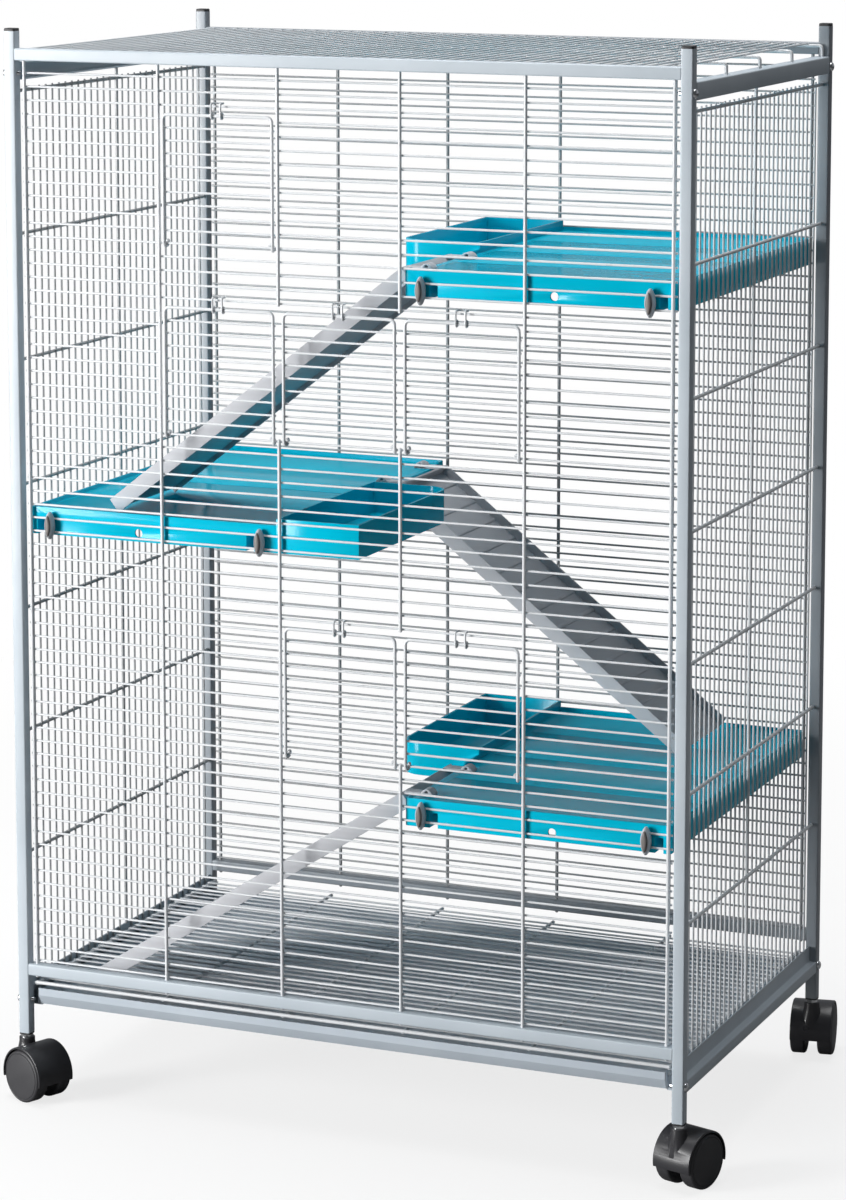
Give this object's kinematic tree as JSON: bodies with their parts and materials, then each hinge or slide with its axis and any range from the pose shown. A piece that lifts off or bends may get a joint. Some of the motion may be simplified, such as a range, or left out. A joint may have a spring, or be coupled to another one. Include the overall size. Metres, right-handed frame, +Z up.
{
  "type": "ferret cage",
  "caption": "Tall wheeled wire cage with hinged wire doors, turquoise shelves with tubs, hooked ramps and a sliding grate over a tray.",
  "frame": {"origin": "on the floor under the middle of the square-tube frame", "axes": "+X to the right seen from the doors, +Y to the back, +Z up"},
  "size_m": [0.8213, 0.539, 1.156],
  "materials": {
    "frame_steel": "satin light blue-grey powder coat",
    "wire_steel": "satin light blue-grey powder coat on wire",
    "bolt_zinc": "bright zinc plating",
    "cap_black": "matt black moulding",
    "shelf_plastic": "satin turquoise moulding",
    "ramp_plastic": "matt lilac-grey moulding",
    "knob_plastic": "matt warm grey moulding",
    "caster_black": "satin black moulding",
    "caster_chrome": "bright plated steel"
  },
  "bodies": {
    "frame": {"post_front_left": "frame_steel", "post_front_right": "frame_steel", "post_back_left": "frame_steel", "post_back_right": "frame_steel", "post_caps": "cap_black", "post_plugs": "cap_black", "front_top_rail": "frame_steel", "front_bottom_rail": "frame_steel", "back_top_rail": "frame_steel", "back_bottom_rail": "frame_steel", "left_top_rail": "frame_steel", "right_top_rail": "frame_steel", "left_bottom_rail": "frame_steel", "right_bottom_rail": "frame_steel", "frame_bolts": "bolt_zinc", "front_panel": "wire_steel", "back_panel": "wire_steel", "left_panel": "wire_steel", "right_panel": "wire_steel", "top_panel": "wire_steel", "shelf_upper": "shelf_plastic", "shelf_middle": "shelf_plastic", "shelf_lower": "shelf_plastic"},
    "grate": {"floor_grate": "wire_steel"},
    "tray": {"floor_tray": "frame_steel"},
    "door_upper_left": {"door_upper_left": "wire_steel"},
    "door_middle_left": {"door_middle_left": "wire_steel"},
    "door_middle_centre": {"door_middle_centre": "wire_steel"},
    "door_middle_right": {"door_middle_right": "wire_steel"},
    "door_lower_centre": {"door_lower_centre": "wire_steel"},
    "door_lower_right": {"door_lower_right": "wire_steel"},
    "latch_upper_left": {"latch_upper_left": "wire_steel"},
    "latch_middle_left": {"latch_middle_left": "wire_steel"},
    "latch_middle_centre": {"latch_middle_centre": "wire_steel"},
    "latch_middle_right": {"latch_middle_right": "wire_steel"},
    "latch_lower_centre": {"latch_lower_centre": "wire_steel"},
    "latch_lower_right": {"latch_lower_right": "wire_steel"},
    "ramp_upper": {"ramp_upper": "ramp_plastic"},
    "ramp_middle": {"ramp_middle": "ramp_plastic"},
    "ramp_lower": {"ramp_lower": "ramp_plastic"},
    "knob_upper_left": {"knob_upper_left": "knob_plastic"},
    "knob_upper_right": {"knob_upper_right": "knob_plastic"},
    "knob_middle_left": {"knob_middle_left": "knob_plastic"},
    "knob_middle_right": {"knob_middle_right": "knob_plastic"},
    "knob_lower_left": {"knob_lower_left": "knob_plastic"},
    "knob_lower_right": {"knob_lower_right": "knob_plastic"},
    "swivel_front_left": {"caster_stem_front_left": "caster_chrome", "caster_hood_front_left": "caster_black"},
    "swivel_front_right": {"caster_stem_front_right": "caster_chrome", "caster_hood_front_right": "caster_black"},
    "swivel_back_left": {"caster_stem_back_left": "caster_chrome", "caster_hood_back_left": "caster_black"},
    "swivel_back_right": {"caster_stem_back_right": "caster_chrome", "caster_hood_back_right": "caster_black"},
    "wheels_front_left": {"caster_wheels_front_left": "caster_black"},
    "wheels_front_right": {"caster_wheels_front_right": "caster_black"},
    "wheels_back_left": {"caster_wheels_back_left": "caster_black"},
    "wheels_back_right": {"caster_wheels_back_right": "caster_black"}
  },
  "joints": [
    {"name": "grate_slide", "type": "slide", "parent": "frame", "child": "grate", "axis": [0, -1, 0], "range_m": [0, 0.4]},
    {"name": "tray_slide", "type": "slide", "parent": "frame", "child": "tray", "axis": [0, -1, 0], "range_m": [0, 0.4]},
    {"name": "door_upper_left_hinge", "type": "hinge", "parent": "frame", "child": "door_upper_left", "pos_m": [-0.136, -0.21995, 0.9379], "axis": [1, 0, 0], "range_deg": [0, 148]},
    {"name": "door_middle_left_hinge", "type": "hinge", "parent": "frame", "child": "door_middle_left", "pos_m": [-0.136, -0.21995, 0.7377], "axis": [1, 0, 0], "range_deg": [0, 148]},
    {"name": "door_middle_centre_hinge", "type": "hinge", "parent": "frame", "child": "door_middle_centre", "pos_m": [0, -0.21995, 0.7377], "axis": [1, 0, 0], "range_deg": [0, 148]},
    {"name": "door_middle_right_hinge", "type": "hinge", "parent": "frame", "child": "door_middle_right", "pos_m": [0.136, -0.21995, 0.7377], "axis": [1, 0, 0], "range_deg": [0, 148]},
    {"name": "door_lower_centre_hinge", "type": "hinge", "parent": "frame", "child": "door_lower_centre", "pos_m": [0, -0.21995, 0.4088], "axis": [1, 0, 0], "range_deg": [0, 148]},
    {"name": "door_lower_right_hinge", "type": "hinge", "parent": "frame", "child": "door_lower_right", "pos_m": [0.136, -0.21995, 0.4088], "axis": [1, 0, 0], "range_deg": [0, 148]},
    {"name": "latch_upper_left_turn", "type": "hinge", "parent": "door_upper_left", "child": "latch_upper_left", "pos_m": [-0.136, -0.223, 1.0714], "axis": [1, 0, 0], "range_deg": [0, 100]},
    {"name": "latch_middle_left_turn", "type": "hinge", "parent": "door_middle_left", "child": "latch_middle_left", "pos_m": [-0.136, -0.223, 0.8712], "axis": [1, 0, 0], "range_deg": [0, 100]},
    {"name": "latch_middle_centre_turn", "type": "hinge", "parent": "door_middle_centre", "child": "latch_middle_centre", "pos_m": [0, -0.223, 0.8712], "axis": [1, 0, 0], "range_deg": [0, 100]},
    {"name": "latch_middle_right_turn", "type": "hinge", "parent": "door_middle_right", "child": "latch_middle_right", "pos_m": [0.136, -0.223, 0.8712], "axis": [1, 0, 0], "range_deg": [0, 100]},
    {"name": "latch_lower_centre_turn", "type": "hinge", "parent": "door_lower_centre", "child": "latch_lower_centre", "pos_m": [0, -0.223, 0.5423], "axis": [1, 0, 0], "range_deg": [0, 100]},
    {"name": "latch_lower_right_turn", "type": "hinge", "parent": "door_lower_right", "child": "latch_lower_right", "pos_m": [0.136, -0.223, 0.5423], "axis": [1, 0, 0], "range_deg": [0, 100]},
    {"name": "ramp_upper_lift", "type": "hinge", "parent": "frame", "child": "ramp_upper", "pos_m": [0.091, -0.13265, 0.9192], "axis": [0, 1, 0], "range_deg": [0, 20]},
    {"name": "ramp_middle_lift", "type": "hinge", "parent": "frame", "child": "ramp_middle", "pos_m": [-0.091, 0.13265, 0.6452], "axis": [0, -1, 0], "range_deg": [0, 20]},
    {"name": "ramp_lower_lift", "type": "hinge", "parent": "frame", "child": "ramp_lower", "pos_m": [0.091, -0.13265, 0.3712], "axis": [0, 1, 0], "range_deg": [0, 20]},
    {"name": "knob_upper_left_turn", "type": "hinge", "parent": "frame", "child": "knob_upper_left", "pos_m": [0.091, -0.2257, 0.90215], "axis": [0, 1, 0], "range_deg": [0, 90]},
    {"name": "knob_upper_right_turn", "type": "hinge", "parent": "frame", "child": "knob_upper_right", "pos_m": [0.337, -0.2257, 0.90215], "axis": [0, 1, 0], "range_deg": [0, 90]},
    {"name": "knob_middle_left_turn", "type": "hinge", "parent": "frame", "child": "knob_middle_left", "pos_m": [-0.337, -0.2257, 0.63045], "axis": [0, 1, 0], "range_deg": [0, 90]},
    {"name": "knob_middle_right_turn", "type": "hinge", "parent": "frame", "child": "knob_middle_right", "pos_m": [-0.091, -0.2257, 0.63045], "axis": [0, 1, 0], "range_deg": [0, 90]},
    {"name": "knob_lower_left_turn", "type": "hinge", "parent": "frame", "child": "knob_lower_left", "pos_m": [0.091, -0.2257, 0.35875], "axis": [0, 1, 0], "range_deg": [0, 90]},
    {"name": "knob_lower_right_turn", "type": "hinge", "parent": "frame", "child": "knob_lower_right", "pos_m": [0.337, -0.2257, 0.35875], "axis": [0, 1, 0], "range_deg": [0, 90]},
    {"name": "swivel_front_left", "type": "hinge", "parent": "frame", "child": "swivel_front_left", "pos_m": [-0.37465, -0.22225, 0.07], "axis": [0, 0, 1], "continuous": true},
    {"name": "roll_front_left", "type": "hinge", "parent": "swivel_front_left", "child": "wheels_front_left", "pos_m": [-0.35808, -0.22928, 0.0285], "axis": [0.3907, 0.9205, 0], "continuous": true},
    {"name": "swivel_front_right", "type": "hinge", "parent": "frame", "child": "swivel_front_right", "pos_m": [0.37465, -0.22225, 0.07], "axis": [0, 0, 1], "continuous": true},
    {"name": "roll_front_right", "type": "hinge", "parent": "swivel_front_right", "child": "wheels_front_right", "pos_m": [0.37991, -0.20504, 0.0285], "axis": [-0.9563, 0.2924, 0], "continuous": true},
    {"name": "swivel_back_left", "type": "hinge", "parent": "frame", "child": "swivel_back_left", "pos_m": [-0.37465, 0.22225, 0.07], "axis": [0, 0, 1], "continuous": true},
    {"name": "roll_back_left", "type": "hinge", "parent": "swivel_back_left", "child": "wheels_back_left", "pos_m": [-0.37961, 0.23955, 0.0285], "axis": [-0.9613, -0.2756, 0], "continuous": true},
    {"name": "swivel_back_right", "type": "hinge", "parent": "frame", "child": "swivel_back_right", "pos_m": [0.37465, 0.22225, 0.07], "axis": [0, 0, 1], "continuous": true},
    {"name": "roll_back_right", "type": "hinge", "parent": "swivel_back_right", "child": "wheels_back_right", "pos_m": [0.37152, 0.23998, 0.0285], "axis": [-0.9848, -0.1736, 0], "continuous": true}
  ]
}
